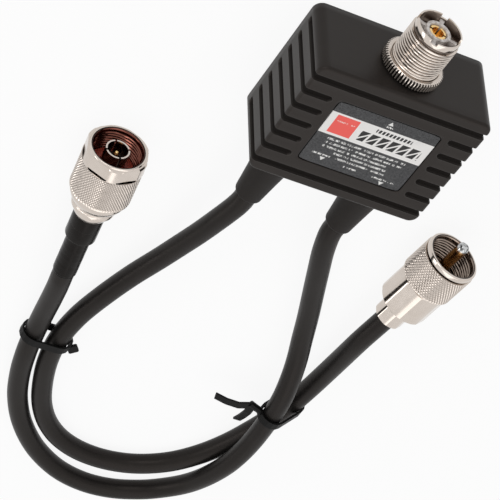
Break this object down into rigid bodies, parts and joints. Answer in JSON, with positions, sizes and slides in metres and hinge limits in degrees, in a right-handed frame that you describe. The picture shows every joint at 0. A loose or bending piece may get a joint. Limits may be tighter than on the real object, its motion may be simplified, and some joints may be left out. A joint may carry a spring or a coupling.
{
  "type": "antenna duplexer",
  "caption": "Ribbed black filter box with a threaded antenna socket on one face and coaxial leads from the opposite face, one ending in an N plug and the other in a UHF plug.",
  "frame": {"origin": "centre of the housing's back face, which rests on the floor", "axes": "+X along the label's long side, +Y out of the antenna socket, +Z out of the label"},
  "size_m": [0.1389, 0.2664, 0.0281],
  "materials": {
    "black_moulding": "fine-grained moulding",
    "cable_jacket": "satin jacket",
    "black_rubber": "matt",
    "label_face": "satin, printed",
    "nickel": "plated, machined",
    "gold": "plated",
    "clear_insulator": "translucent",
    "white_insulator": "smooth",
    "red_gasket": "matt",
    "screw_steel": "blackened",
    "board": "coated laminate",
    "copper_wire": "enamelled copper",
    "capacitor": "dipped"
  },
  "bodies": {
    "duplexer": {"housing_shell": "black_moulding", "back_cover": "black_moulding", "cover_screw_1": "screw_steel", "cover_screw_2": "screw_steel", "cover_screw_3": "screw_steel", "cover_screw_4": "screw_steel", "front_label": "label_face", "antenna_socket_body": "nickel", "antenna_socket_ring": "nickel", "antenna_socket_insulator": "clear_insulator", "antenna_socket_contact": "gold", "antenna_lead": "copper_wire", "circuit_board": "board", "shield_wall": "nickel", "low_coil_1": "copper_wire", "low_coil_2": "copper_wire", "low_coil_3": "copper_wire", "high_coil_1": "copper_wire", "high_coil_2": "copper_wire", "low_capacitor_1": "capacitor", "low_capacitor_2": "capacitor", "high_capacitor_1": "capacitor", "high_capacitor_2": "capacitor", "high_capacitor_3": "capacitor", "low_boot": "black_rubber", "high_boot": "black_rubber", "low_cable_tail": "cable_jacket", "high_cable_tail": "cable_jacket", "low_cable": "cable_jacket", "high_cable": "cable_jacket", "tie_left": "black_rubber", "tie_right": "black_rubber", "n_plug_body": "nickel", "n_plug_outer_contact": "nickel", "n_plug_gasket": "red_gasket", "n_plug_insulator": "white_insulator", "n_plug_pin": "gold", "n_plug_sleeve": "black_rubber", "n_plug_heat_shrink": "black_rubber", "uhf_plug_body": "nickel", "uhf_plug_reducer": "nickel", "uhf_plug_insulator": "white_insulator", "uhf_plug_pin": "gold"},
    "n_coupling_nut": {"n_plug_nut": "nickel"},
    "uhf_coupling_shell": {"uhf_plug_shell": "nickel"}
  },
  "joints": [
    {"name": "n_nut_spin", "type": "hinge", "parent": "duplexer", "child": "n_coupling_nut", "pos_m": [-0.0594, -0.0496, 0.0104], "axis": [-0.1444, 0.9895, 0], "continuous": true},
    {"name": "uhf_shell_spin", "type": "hinge", "parent": "duplexer", "child": "uhf_coupling_shell", "pos_m": [0.0606, -0.0479, 0.01], "axis": [0.1132, 0.9936, 0], "continuous": true}
  ]
}
